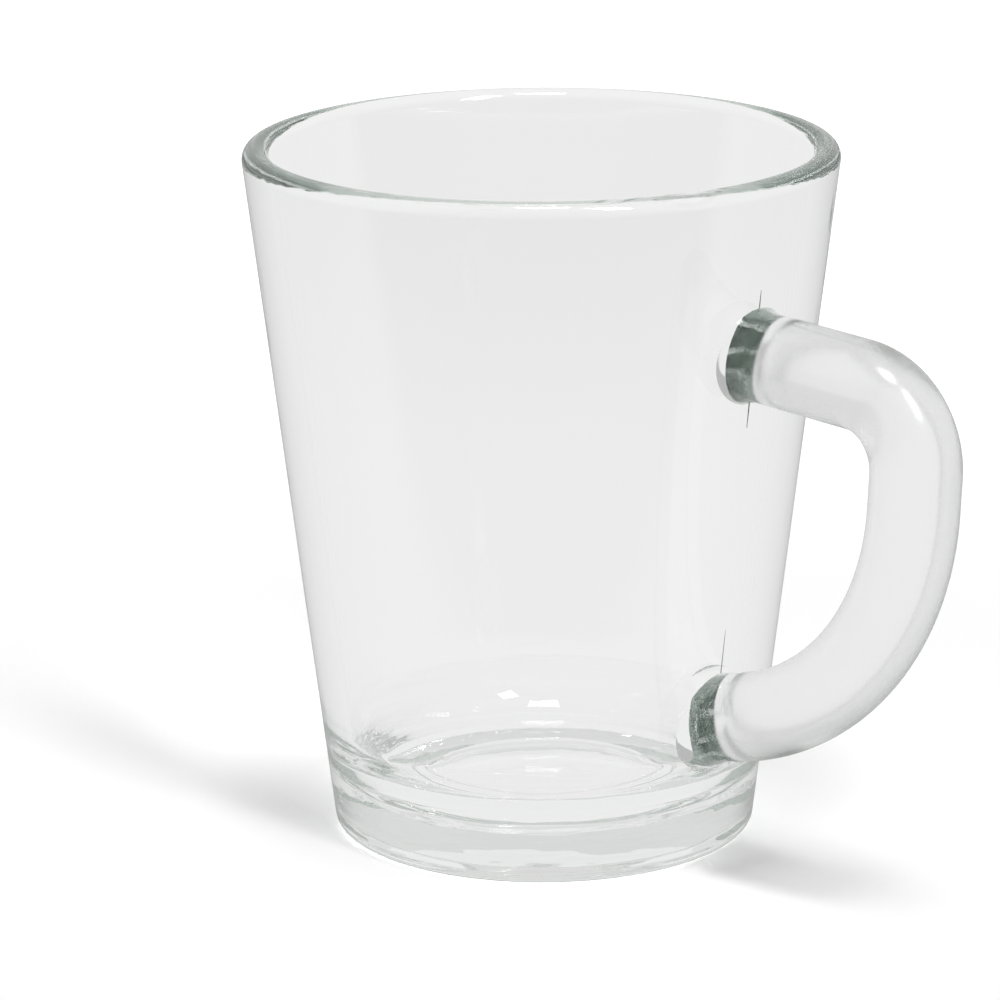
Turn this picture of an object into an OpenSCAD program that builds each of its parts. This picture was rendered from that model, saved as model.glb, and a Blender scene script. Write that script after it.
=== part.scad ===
// Clear glass espresso cup: a pressed conical bowl with a heavy base, and a bent glass rod
// for a handle, fused to the wall by a flared collar at each end.
// Millimetres, +Z up. The origin is on the bowl's axis, in the plane that the cup stands on,
// and the handle points along +X.

/* [Bowl] */
// Outer diameter at the rim
rim_d = 60; // [45:0.5:90]
// Height from the table to the top of the rim
cup_h = 71.2; // [50:0.1:110]
// Outer diameter that the straight wall would have at the table
foot_d = 43; // [32:0.1:70]
// Thickness of the wall, square to its slope; the rim is rounded to half of it
wall_t = 2.8; // [2:0.1:5]

/* [Base] */
// Height of the inside floor's edge above the table
floor_h = 4.8; // [4:0.1:12]
// Depth of the shallow dish pressed into the inside floor
floor_dish = 0.9; // [0.3:0.1:2]
// Radius of the curve between the inside floor and the wall
floor_curve_r = 8; // [3:0.1:11]
// Radius of the heel, where the wall turns under to the foot
heel_r = 1.2; // [0.5:0.1:3]
// Width of the flat ring that the cup stands on
foot_ring_w = 4.9; // [2:0.1:8]
// Depth of the flat recess in the underside, inside that ring
recess_depth = 0.7; // [0.3:0.1:2]

/* [Handle] */
// Diameter of the glass rod
rod_d = 8.9; // [6:0.1:12]
// Height at which the upper arm's axis meets the wall
arm_h = 53.8; // [40:0.1:60]
// Tilt of the whole handle, which brings its upper arm down towards the corner, in degrees
handle_tilt = 3.4; // [0:0.1:10]
// Length of the upper arm, from the wall to the corner
arm_len = 13.2; // [8:0.1:20]
// Bend radius of the square upper corner, at the rod's axis
corner_r = 7.4; // [6:0.1:14]
// Length of the straight grip below the corner
grip_len = 3.5; // [0.5:0.1:8]
// Bend radius of the long lower bow, at the rod's axis
bow_r = 27.6; // [22:0.1:34]

/* [Roots] */
// Length of each fused collar along the rod
root_len = 2.2; // [1:0.1:4]
// How far each collar flares beyond the rod where it meets the wall
root_flare = 0.5; // [0.2:0.1:2]

/* [Hidden] */
$fn = 96;

// The wall reaches the rim's diameter where the rim begins to round over
rim_r = wall_t / 2;
rim_z = cup_h - rim_r;
// The wall's lean from upright, and the outer wall's radius at a height
lean = atan((rim_d - foot_d) / 2 / rim_z);
function wall_r(z) = foot_d / 2 + z * tan(lean);

// Middles of the arcs in the bowl's outline, as [radius, height]; out_dir is square to the wall
out_dir = [cos(lean), -sin(lean)];
rim_mid = [wall_r(rim_z) - rim_r / cos(lean), rim_z];
heel_mid = [wall_r(heel_r) - heel_r / cos(lean), heel_r];
curve_z = floor_h + floor_curve_r;
curve_mid = [wall_r(curve_z) - (wall_t + floor_curve_r) / cos(lean), curve_z];
recess_r = heel_mid[0] - foot_ring_w;
dish_r = (curve_mid[0] ^ 2 + floor_dish ^ 2) / (2 * floor_dish);

// The rod's axis in the handle's own plane, whose origin is where the arm meets the wall
rod_r = rod_d / 2;
corner_mid = [arm_len, -corner_r];
bow_mid = corner_mid + [corner_r - bow_r, -grip_len];

// The bow stops a collar's length short of the point where its axis meets the leaning wall
wall_turn = lean - handle_tilt;
bow_mid_inside = -bow_mid * [cos(wall_turn), -sin(wall_turn)];
bow_turn = acos(bow_mid_inside / bow_r) + wall_turn - root_len / bow_r * 180 / PI;
bow_end = bow_mid + bow_r * [cos(bow_turn), -sin(bow_turn)];

// The collar's concave side is an arc that meets the rod without an edge
flare_r = (root_len ^ 2 + root_flare ^ 2) / (2 * root_flare);
flare_slope = root_len / (flare_r - root_flare);

glass = [0.80, 0.86, 0.83, 0.55];

// The bowl in one revolved outline: base, wall and rounded rim.
module cup_body() {
    color(glass)
        rotate_extrude()
            difference() {
                union() {
                    polygon([
                        [0, 0],
                        [heel_mid[0], 0],
                        heel_mid + heel_r * out_dir,
                        rim_mid + rim_r * out_dir,
                        rim_mid - rim_r * out_dir,
                        curve_mid + floor_curve_r * out_dir,
                        [curve_mid[0], floor_h],
                        [0, floor_h]
                    ]);
                    translate(heel_mid)
                        circle(heel_r);
                    translate(rim_mid)
                        circle(rim_r);
                }
                translate(curve_mid)
                    circle(floor_curve_r);
                intersection() {
                    translate([0, floor_h - floor_dish + dish_r])
                        circle(dish_r);
                    square([curve_mid[0], 2 * floor_h]);
                }
                polygon([
                    [0, 0],
                    [recess_r, 0],
                    [recess_r - recess_depth, recess_depth],
                    [0, recess_depth]
                ]);
            }
}

// Puts a shape of the handle's own plane at the wall, tilted.
module on_wall() {
    translate([wall_r(arm_h), 0, arm_h])
        rotate([0, handle_tilt, 0])
            children();
}

// A bend of the rod, from the angle from through turn degrees.
module rod_bend(mid, bend_r, turn, from = 0) {
    translate([mid[0], 0, mid[1]])
        rotate([90, 0, 0])
            rotate(from)
                rotate_extrude(angle = turn)
                    translate([bend_r, 0])
                        circle(rod_r);
}

// The bent rod between the two collars: upper arm, corner, short grip and long bow.
module handle() {
    color(glass)
        on_wall()
            union() {
                translate([root_len, 0, 0])
                    rotate([0, 90, 0])
                        cylinder(h = arm_len - root_len, r = rod_r);
                rod_bend(corner_mid, corner_r, 90);
                translate([bow_mid[0] + bow_r, 0, bow_mid[1]])
                    cylinder(h = grip_len, r = rod_r);
                rod_bend(bow_mid, bow_r, -bow_turn);
            }
}

// A fused collar: it starts at the rod's end face, flares along the rod's axis towards the
// wall, and is cut to the wall's slope and curve.
module root_collar(rod_end, rise) {
    color(glass)
        difference() {
            on_wall()
                translate([rod_end[0], 0, rod_end[1]])
                    rotate([0, 90 - rise, 0])
                        rotate_extrude()
                            difference() {
                                polygon([
                                    [0, 0],
                                    [rod_r, 0],
                                    [rod_r + root_flare, -root_len],
                                    [rod_r + root_flare + root_len * flare_slope, -2 * root_len],
                                    [0, -2 * root_len]
                                ]);
                                translate([rod_r + flare_r, 0])
                                    circle(flare_r);
                            }
            cylinder(h = cup_h, r1 = wall_r(0), r2 = wall_r(cup_h));
        }
}

// Where the upper arm meets the wall.
module upper_handle_root() {
    root_collar([root_len, 0], 0);
}

// Where the bow meets the wall, rising outwards.
module lower_handle_root() {
    root_collar(bow_end, 90 - bow_turn);
}

cup_body();
handle();
upper_handle_root();
lower_handle_root();
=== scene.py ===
import math

import bmesh
import bpy
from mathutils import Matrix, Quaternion, Vector


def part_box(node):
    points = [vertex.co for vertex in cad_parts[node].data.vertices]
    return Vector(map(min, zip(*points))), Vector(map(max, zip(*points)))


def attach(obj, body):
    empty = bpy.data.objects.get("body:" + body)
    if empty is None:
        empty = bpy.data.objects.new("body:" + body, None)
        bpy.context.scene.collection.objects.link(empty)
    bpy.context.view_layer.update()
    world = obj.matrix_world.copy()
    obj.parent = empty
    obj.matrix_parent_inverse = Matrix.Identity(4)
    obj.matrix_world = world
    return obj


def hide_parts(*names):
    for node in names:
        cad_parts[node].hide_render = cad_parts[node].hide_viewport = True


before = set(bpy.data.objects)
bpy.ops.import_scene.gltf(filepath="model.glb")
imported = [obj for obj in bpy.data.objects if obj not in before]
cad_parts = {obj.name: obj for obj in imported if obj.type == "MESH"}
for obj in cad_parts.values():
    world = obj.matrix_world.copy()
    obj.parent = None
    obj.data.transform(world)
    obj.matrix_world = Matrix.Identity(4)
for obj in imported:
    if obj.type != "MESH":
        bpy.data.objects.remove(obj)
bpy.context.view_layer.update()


# The camera stands half a metre off, a little above the rim, with the handle towards it on the right.
# A long lens keeps the cup's taper close to its true shape.
HANDLE_TURN = math.radians(43)
CAMERA_RISE = math.radians(15.59)
CAMERA_ROLL = -0.007
CAMERA_DISTANCE = 0.5053
AIM_RIGHT = -0.00436
AIM_HEIGHT = 0.03398
camera_right = Vector((math.cos(HANDLE_TURN), math.sin(HANDLE_TURN), 0))
towards_camera = Vector((math.sin(HANDLE_TURN), -math.cos(HANDLE_TURN), 0))
camera_aim = AIM_RIGHT * camera_right + Vector((0, 0, AIM_HEIGHT))
camera_side = towards_camera * math.cos(CAMERA_RISE) + Vector((0, 0, math.sin(CAMERA_RISE)))

bpy.ops.object.camera_add(location=camera_aim + CAMERA_DISTANCE * camera_side)
camera = bpy.context.object
camera.rotation_mode = "QUATERNION"
camera.rotation_quaternion = camera_side.to_track_quat("Z", "Y") @ Quaternion((0, 0, 1), CAMERA_ROLL)
camera.data.sensor_width = 36
camera.data.lens = 178.1
bpy.context.scene.camera = camera
bpy.context.scene.view_settings.view_transform = "Standard"


# The bowl is pressed in one shot of clear soda-lime glass: a leaning wall, a heavy base and a rim that
# is rounded off in the flame. It stands on a flat ring round a shallow recess.
def pick(kind, test):
    """Selects, in edit mode, only the faces or edges that pass the test."""
    mesh = bmesh.from_edit_mesh(bpy.context.edit_object.data)
    bpy.ops.mesh.select_mode(type=kind)
    bpy.ops.mesh.select_all(action="DESELECT")
    for item in mesh.faces if kind == "FACE" else mesh.edges:
        item.select_set(test(item))
    mesh.select_flush_mode()
    bmesh.update_edit_mesh(bpy.context.edit_object.data)


def on_ring(edge, height, radius):
    """True for an edge that lies on the ring of that height and radius."""
    return all(abs(v.co.z - height) + abs(v.co.xy.length - radius) < 2e-5 for v in edge.verts)


WALL = 0.0028
FLOOR = 0.0048
FLOOR_CURVE = 0.008
DISH = 0.0009
HEEL = 0.0012
FOOT_RING = 0.0049
RECESS = 0.0007
RECESS_EDGE = 0.0002
FOOT_RADIUS = 0.0215
ROUND_STEPS = 256
cup_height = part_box("cup_body")[1].z
rim_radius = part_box("cup_body")[1].y
lean = math.atan((rim_radius - FOOT_RADIUS) / (cup_height - WALL / 2))
wall_across = WALL / math.cos(lean)


def wall_radius(height):
    return FOOT_RADIUS + height * math.tan(lean)


bpy.ops.object.select_all(action="DESELECT")
bpy.ops.mesh.primitive_cone_add(
    vertices=ROUND_STEPS,
    radius1=FOOT_RADIUS,
    radius2=wall_radius(cup_height),
    depth=cup_height,
    location=(0, 0, cup_height / 2),
)
bpy.ops.object.transform_apply()
cup = bpy.context.object
cup.name = "glass_cup"
bpy.ops.object.mode_set(mode="EDIT")

# The hollow is pushed down from the top, its wall parallel to the outside.
pick("FACE", lambda face: face.normal.z > 0.9)
bpy.ops.mesh.inset(thickness=wall_across)
bpy.ops.mesh.extrude_region_move(TRANSFORM_OT_translate={"value": (0, 0, FLOOR - cup_height)})
narrowing = (wall_radius(FLOOR) - wall_across) / (wall_radius(cup_height) - wall_across)
bpy.ops.transform.resize(value=(narrowing, narrowing, 1), center_override=(0, 0, FLOOR))

# Corners are rounded to their radius: a corner wider than square takes a shorter bevel.
wide_corner = math.tan(math.radians(45) - lean / 2)
sharp_corner = math.tan(math.radians(45) + lean / 2)
rim_round = 0.98 * WALL / 2  # just under half the wall, so that the two bevels don't meet
rim_outside = wall_radius(cup_height)
pick("EDGE", lambda edge: on_ring(edge, cup_height, rim_outside))
bpy.ops.mesh.bevel(offset=rim_round * sharp_corner, segments=12, affect="EDGES")
pick("EDGE", lambda edge: on_ring(edge, cup_height, rim_outside - wall_across))
bpy.ops.mesh.bevel(offset=rim_round * wide_corner, segments=12, affect="EDGES")
pick("EDGE", lambda edge: on_ring(edge, FLOOR, wall_radius(FLOOR) - wall_across))
bpy.ops.mesh.bevel(offset=FLOOR_CURVE * wide_corner, segments=24, affect="EDGES")
pick("EDGE", lambda edge: on_ring(edge, 0, FOOT_RADIUS))
bpy.ops.mesh.bevel(offset=HEEL * wide_corner, segments=8, affect="EDGES")

# The inside floor is a shallow dish, set down ring by ring along an arc.
DISH_RINGS = 16
dish_edge = wall_radius(FLOOR + FLOOR_CURVE) - (WALL + FLOOR_CURVE) / math.cos(lean)
dish_radius = (dish_edge ** 2 + DISH ** 2) / (2 * DISH)
ring_step = dish_edge / (DISH_RINGS + 1)
depth_before = 0
pick("FACE", lambda face: face.normal.z > 0.9 and abs(face.calc_center_median().z - FLOOR) < 1e-5)
for ring in range(1, DISH_RINGS + 1):
    ring_radius = dish_edge - ring * ring_step
    depth = math.sqrt(dish_radius ** 2 - ring_radius ** 2) - (dish_radius - DISH)
    bpy.ops.mesh.inset(thickness=ring_step)
    bpy.ops.transform.translate(value=(0, 0, depth_before - depth))
    depth_before = depth

# Under the base, a flat recess leaves a ring to stand on.
pick("FACE", lambda face: face.normal.z < -0.9 and face.calc_center_median().z < 1e-5)
bpy.ops.mesh.inset(thickness=FOOT_RING)
bpy.ops.mesh.inset(thickness=RECESS)
bpy.ops.transform.translate(value=(0, 0, RECESS))
recess_radius = wall_radius(HEEL) - HEEL / math.cos(lean) - FOOT_RING
pick("EDGE", lambda edge: on_ring(edge, 0, recess_radius) or on_ring(edge, RECESS, recess_radius - RECESS))
bpy.ops.mesh.bevel(offset=RECESS_EDGE, segments=4, affect="EDGES")
bpy.ops.object.mode_set(mode="OBJECT")


# The handle is a round rod of the same glass, bent hot: a straight upper arm, a square corner, a short
# grip and a long bow. It is made upright in its own plane, and then tilted and set on the wall.
ROD = 0.00445
ARM_HEIGHT = 0.0538
HANDLE_TILT = math.radians(3.4)
ARM = 0.0132
CORNER = 0.0074
GRIP = 0.0035
BOW = 0.0276
ROOT = 0.0022
ROD_STEPS = 72
bow_middle = Vector((ARM + CORNER - BOW, 0, -CORNER - GRIP))
wall_turn = lean - HANDLE_TILT
bow_reach = math.acos(-(bow_middle.x * math.cos(wall_turn) - bow_middle.z * math.sin(wall_turn)) / BOW)
bow_turn = bow_reach + wall_turn - ROOT / BOW
bow_end = bow_middle + BOW * Vector((math.cos(bow_turn), 0, -math.sin(bow_turn)))


def set_on_wall(piece):
    """Tilts a shape of the handle's own plane and puts it on the wall, where the upper arm meets it."""
    piece.rotation_euler = (0, HANDLE_TILT, 0)
    piece.location = (wall_radius(ARM_HEIGHT), 0, ARM_HEIGHT)
    bpy.ops.object.transform_apply()


bpy.ops.object.select_all(action="DESELECT")
bpy.ops.mesh.primitive_cylinder_add(
    vertices=ROD_STEPS,
    radius=ROD,
    depth=ARM - ROOT / 2,
    location=((ARM + ROOT / 2) / 2, 0, 0),
    rotation=(0, math.pi / 2, 0),
)
bpy.ops.object.transform_apply()
handle = bpy.context.object
bpy.ops.object.mode_set(mode="EDIT")
pick("FACE", lambda face: face.normal.x > 0.9)
bpy.ops.mesh.spin(steps=32, angle=math.pi / 2, center=(ARM, 0, -CORNER), axis=(0, -1, 0))
bpy.ops.mesh.extrude_region_move(TRANSFORM_OT_translate={"value": (0, 0, -GRIP)})
bpy.ops.mesh.spin(steps=64, angle=bow_turn + ROOT / 2 / BOW, center=bow_middle, axis=(0, -1, 0))
bpy.ops.object.mode_set(mode="OBJECT")
set_on_wall(handle)


# Each end of the rod is melted to the wall by a collar that flares along the rod's axis.
# Beside the collars the mould has left a fine seam on the wall.
# The collars reach into rod and wall, and all the glass is then fused into one skin with no faces inside.
ROOT_FLARE = 0.0005
FLARE_STEPS = 8
COLLAR_START = 0.0001
SEAM_IN_COLLAR = 0.0006
flare_radius = (ROOT ** 2 + ROOT_FLARE ** 2) / (2 * ROOT_FLARE)
flare_slope = ROOT / (flare_radius - ROOT_FLARE)


def root_collar(rod_end, rise):
    """A flared collar that starts at the rod's end and runs into the wall."""
    bpy.ops.object.select_all(action="DESELECT")
    bpy.ops.mesh.primitive_cylinder_add(
        vertices=ROD_STEPS, radius=ROD, depth=COLLAR_START, location=(0, 0, -COLLAR_START / 2)
    )
    bpy.ops.object.transform_apply()
    collar = bpy.context.object
    bpy.ops.object.mode_set(mode="EDIT")
    pick("FACE", lambda face: face.normal.z < -0.9)
    radius_before = ROD
    for step in range(1, FLARE_STEPS + 1):
        down = ROOT * step / FLARE_STEPS
        radius = ROD + flare_radius - math.sqrt(flare_radius ** 2 - down ** 2)
        bpy.ops.mesh.extrude_region_move(TRANSFORM_OT_translate={"value": (0, 0, -ROOT / FLARE_STEPS)})
        bpy.ops.transform.resize(value=(radius / radius_before, radius / radius_before, 1))
        radius_before = radius
    widening = 1 + WALL / 2 * flare_slope / radius
    bpy.ops.mesh.extrude_region_move(TRANSFORM_OT_translate={"value": (0, 0, -WALL / 2)})
    bpy.ops.transform.resize(value=(widening, widening, 1))
    bpy.ops.object.mode_set(mode="OBJECT")
    collar.rotation_euler = (0, math.pi / 2 - rise, 0)
    collar.location = rod_end
    bpy.ops.object.transform_apply()
    set_on_wall(collar)
    return collar


def mould_seam(low, high, low_end, high_end):
    """A thin ridge up the wall in the handle's plane, half sunk in it, with a radius for each end."""
    middle = (low + high) / 2
    bpy.ops.object.select_all(action="DESELECT")
    bpy.ops.mesh.primitive_cone_add(
        vertices=12,
        radius1=low_end,
        radius2=high_end,
        depth=(high - low) / math.cos(lean),
        location=(wall_radius(middle), 0, middle),
        rotation=(0, lean, 0),
    )
    bpy.ops.object.transform_apply()
    return bpy.context.object


upper_root = root_collar(Vector((ROOT, 0, 0)), 0)
lower_root = root_collar(bow_end, math.pi / 2 - bow_turn)
upper_low, upper_high = (corner.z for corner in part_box("upper_handle_root"))
lower_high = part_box("lower_handle_root")[1].z
seams = [
    mould_seam(upper_high - SEAM_IN_COLLAR, upper_high + 0.0018, 0.00013, 0.00005),
    mould_seam(upper_low - 0.0024, upper_low + SEAM_IN_COLLAR, 0.00005, 0.00013),
    mould_seam(lower_high - SEAM_IN_COLLAR, lower_high + 0.0045, 0.0001, 0.00003),
]
for piece in (upper_root, lower_root, handle, *seams):
    bpy.ops.object.select_all(action="DESELECT")
    bpy.context.view_layer.objects.active = cup
    cup.select_set(True)
    bpy.ops.object.modifier_add(type="BOOLEAN")
    fuse = cup.modifiers[-1]
    fuse.operation = "UNION"
    fuse.object = piece
    bpy.ops.object.modifier_apply(modifier=fuse.name)
    bpy.data.objects.remove(piece)
bpy.ops.object.shade_smooth_by_angle(angle=math.radians(35))
bpy.ops.object.modifier_add(type="WEIGHTED_NORMAL")
cup.modifiers[-1].keep_sharp = True
cup.modifiers[-1].weight = 100
bpy.ops.object.modifier_apply(modifier=cup.modifiers[-1].name)


# The whole cup is one clear soda-lime glass, faintly green-grey where it is thick.
# The mould and the flame leave fine upright waves in its skin, and level ripples round the base.
# The drawn rod is a little softer.
class Glaze:
    """A socket of a node tree. Arithmetic on it adds Math nodes, and node() adds any other node."""

    def __init__(self, tree, socket=None):
        self.tree = tree
        self.socket = socket

    def node(self, kind, settings=None, values=None, output=0):
        made = self.tree.nodes.new(kind)
        for name, value in (settings or {}).items():
            setattr(made, name, value)
        for name, value in (values or {}).items():
            if isinstance(value, Glaze):
                self.tree.links.new(value.socket, made.inputs[name])
            else:
                made.inputs[name].default_value = value
        return Glaze(self.tree, made.outputs[output] if made.outputs else None)

    def rise(self, value, low, high):
        """A smooth step from 0 at the low value to 1 at the high one."""
        ends = {"Value": value, "From Min": low, "From Max": high}
        return self.node("ShaderNodeMapRange", {"interpolation_type": "SMOOTHSTEP"}, ends)

    def math(self, operation, first, second):
        return self.node("ShaderNodeMath", {"operation": operation}, {0: first, 1: second})

    def __add__(self, other):
        return self.math("ADD", self, other)

    def __radd__(self, other):
        return self.math("ADD", other, self)

    def __sub__(self, other):
        return self.math("SUBTRACT", self, other)

    def __rsub__(self, other):
        return self.math("SUBTRACT", other, self)

    def __mul__(self, other):
        return self.math("MULTIPLY", self, other)

    def __rmul__(self, other):
        return self.math("MULTIPLY", other, self)


GLASS_TINT = (0.967, 0.975, 0.970, 1)
TINT_DENSITY = 62
WAVE_DEPTH = 0.00004
ROD_ROUGHNESS = 0.19
clear_glass = bpy.data.materials.new("clear_glass")
clear_glass.use_nodes = True
clear_glass.node_tree.nodes.clear()
glaze = Glaze(clear_glass.node_tree)
place = glaze.node("ShaderNodeTexCoord", output="Object")
along = glaze.node("ShaderNodeSeparateXYZ", values={0: place}, output="X")
above = glaze.node("ShaderNodeSeparateXYZ", values={0: place}, output="Z")
off_wall = along - FOOT_RADIUS - math.tan(lean) * above
on_handle = glaze.rise(off_wall, 0.001, 0.004)
upright = glaze.node("ShaderNodeVectorMath", {"operation": "MULTIPLY"}, {0: place, 1: (1, 1, 0.35)})
waves = glaze.node("ShaderNodeTexNoise", values={"Vector": upright, "Scale": 150, "Detail": 2})
level = glaze.node("ShaderNodeVectorMath", {"operation": "MULTIPLY"}, {0: place, 1: (0.6, 0.6, 2.5)})
ripples = glaze.node("ShaderNodeTexNoise", values={"Vector": level, "Scale": 150, "Detail": 2})
uneven = waves + 2.5 * ripples * glaze.rise(above, 0.016, 0.006)
skin = glaze.node("ShaderNodeBump", values={"Strength": 1, "Distance": WAVE_DEPTH, "Height": uneven})
shader = glaze.node(
    "ShaderNodeBsdfPrincipled",
    values={
        "Base Color": (1, 1, 1, 1),
        "Roughness": ROD_ROUGHNESS * on_handle,
        "IOR": 1.52,
        "Transmission Weight": 1,
        "Normal": skin,
    },
)

# Light passes straight through the thin walls to the table, and is held back by edges, base and rod.
# Light that is already inside the glass doesn't leave it that way.
edge_on = glaze.node("ShaderNodeLayerWeight", values={"Blend": 0.5}, output="Facing")
in_shadow = glaze.node("ShaderNodeLightPath", output="Is Shadow Ray")
high_up = glaze.rise(above, 0.02, 0.06)
far_out = glaze.rise(off_wall, 0.008, 0.022)
held_back = (0.92 - 0.92 * far_out) * on_handle
at_edges = (0.12 + 0.72 * high_up) * (1 - 0.8 * far_out) * glaze.math("POWER", edge_on, 2.4)
let_by = (0.89 - at_edges) * (1 - held_back)
inside = glaze.math("MINIMUM", glaze.node("ShaderNodeLightPath", output="Transmission Depth"), 1)
opening = glaze.node("ShaderNodeBsdfTransparent")
surface = glaze.node(
    "ShaderNodeMixShader", values={0: in_shadow * let_by * (1 - inside), 1: shader, 2: opening}
)
tint = glaze.node("ShaderNodeVolumeAbsorption", values={"Color": GLASS_TINT, "Density": TINT_DENSITY})
glaze.node("ShaderNodeOutputMaterial", values={"Surface": surface, "Volume": tint})
cup.data.materials.clear()
cup.data.materials.append(clear_glass)
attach(cup, "root")
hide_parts("cup_body", "handle", "upper_handle_root", "lower_handle_root")


# The cup stands on a white table whose glow carries painted shade and painted light, in front of a white
# backdrop, under two soft lamps.
# The rest of the room is dim, and the rim and the roots of the handle show that as darker bands.
# A film of air parts the table from the foot: with both in one plane, the base would show a false band.
AIR_FILM = 0.0001
bpy.ops.object.select_all(action="DESELECT")
bpy.ops.mesh.primitive_plane_add(size=6, location=(0, 0, -AIR_FILM))
table = bpy.context.object
table.name = "table"
table_white = bpy.data.materials.new("table_white")
table_white.use_nodes = True
table_white.node_tree.nodes.clear()
top = Glaze(table_white.node_tree)
through_glass = top.node("ShaderNodeLightPath", output="Is Transmission Ray")
in_gloss = top.node("ShaderNodeLightPath", output="Is Glossy Ray")
by_glass = top.math("MAXIMUM", through_glass, in_gloss)
lit = top.node("ShaderNodeBsdfDiffuse", values={"Color": 0.9 * (1 - by_glass)})
spot = top.node("ShaderNodeTexCoord", output="Object")
ahead = top.node(
    "ShaderNodeVectorMath", {"operation": "DOT_PRODUCT"}, {0: spot, 1: towards_camera}, output="Value"
)
# Seen through the glass, the table is an even white glow with painted shade: darker in front of the cup,
# towards the camera, and a little darker well behind it.
painted_shade_in_front = top.rise(ahead, -0.02, 0.27)
painted_shade_far_behind = top.rise(ahead, -0.12, -0.3)
# Seen straight on, the table carries painted light: it glows more the farther it lies from the cup, on top
# of its lit white.
distance = top.node("ShaderNodeVectorMath", {"operation": "LENGTH"}, {0: spot}, output="Value")
far_off = top.rise(distance, 0.08, 0.2)
table_in_glass_with_painted_shade = (0.9 - 0.38 * painted_shade_in_front - 0.04 * painted_shade_far_behind) * through_glass
seen_in_gloss = 0.4 * in_gloss * (1 - through_glass)
painted_light_far_off = 0.3 * far_off * top.node("ShaderNodeLightPath", output="Is Camera Ray")
table_glow_with_painted_light = top.node("ShaderNodeEmission", values={"Color": table_in_glass_with_painted_shade + seen_in_gloss + painted_light_far_off})
both = top.node("ShaderNodeAddShader", values={0: lit, 1: table_glow_with_painted_light})
top.node("ShaderNodeOutputMaterial", values={"Surface": both})
table.data.materials.append(table_white)

room = bpy.data.worlds.new("room")
bpy.context.scene.world = room
room.use_nodes = True
room.node_tree.nodes.clear()
air = Glaze(room.node_tree)
direction = air.node("ShaderNodeTexCoord", output="Generated")
upward = air.node("ShaderNodeSeparateXYZ", values={0: direction}, output="Z")
behind = air.node(
    "ShaderNodeVectorMath", {"operation": "DOT_PRODUCT"}, {0: direction, 1: -towards_camera}, output="Value"
)
backdrop = air.rise(behind, 0.15, 0.6)
overhead = air.rise(upward, 0.55, 0.8)
in_view = air.node("ShaderNodeLightPath", output="Is Camera Ray")
in_glass = air.math(
    "MAXIMUM",
    air.node("ShaderNodeLightPath", output="Is Transmission Ray"),
    air.node("ShaderNodeLightPath", output="Is Glossy Ray"),
)
bright = air.math("MAXIMUM", in_view, air.math("MAXIMUM", 0.9 * backdrop, 0.75 * overhead))
lights_table = 1 - air.math("MAXIMUM", in_view, in_glass)
room_grey = (0.488 + 0.312 * bright) * (1 - 0.6 * lights_table)
glow = air.node("ShaderNodeBackground", values={"Color": room_grey})
air.node("ShaderNodeOutputWorld", values={"Surface": glow})


def soft_lamp(name, place, width, height, power):
    """A soft lamp that faces the cup."""
    bpy.ops.object.light_add(type="AREA", location=place)
    lamp = bpy.context.object
    lamp.name = name
    lamp.rotation_mode = "QUATERNION"
    lamp.rotation_quaternion = Vector(place).to_track_quat("Z", "Y")
    lamp.data.shape = "RECTANGLE"
    lamp.data.size = width
    lamp.data.size_y = height
    lamp.data.energy = power
    lamp.visible_transmission = False


high_front = 0.9 * towards_camera + Vector((0, 0, 4.75))
right_front = 1.75 * camera_right + 2.6 * towards_camera + Vector((0, 0, 3.9))
soft_lamp("high_lamp", high_front, 1.0, 1.0, 96)
soft_lamp("right_lamp", right_front, 0.7, 2.2, 141)

bpy.context.scene.cycles.max_bounces = 96
bpy.context.scene.cycles.transmission_bounces = 96
bpy.context.scene.cycles.glossy_bounces = 96
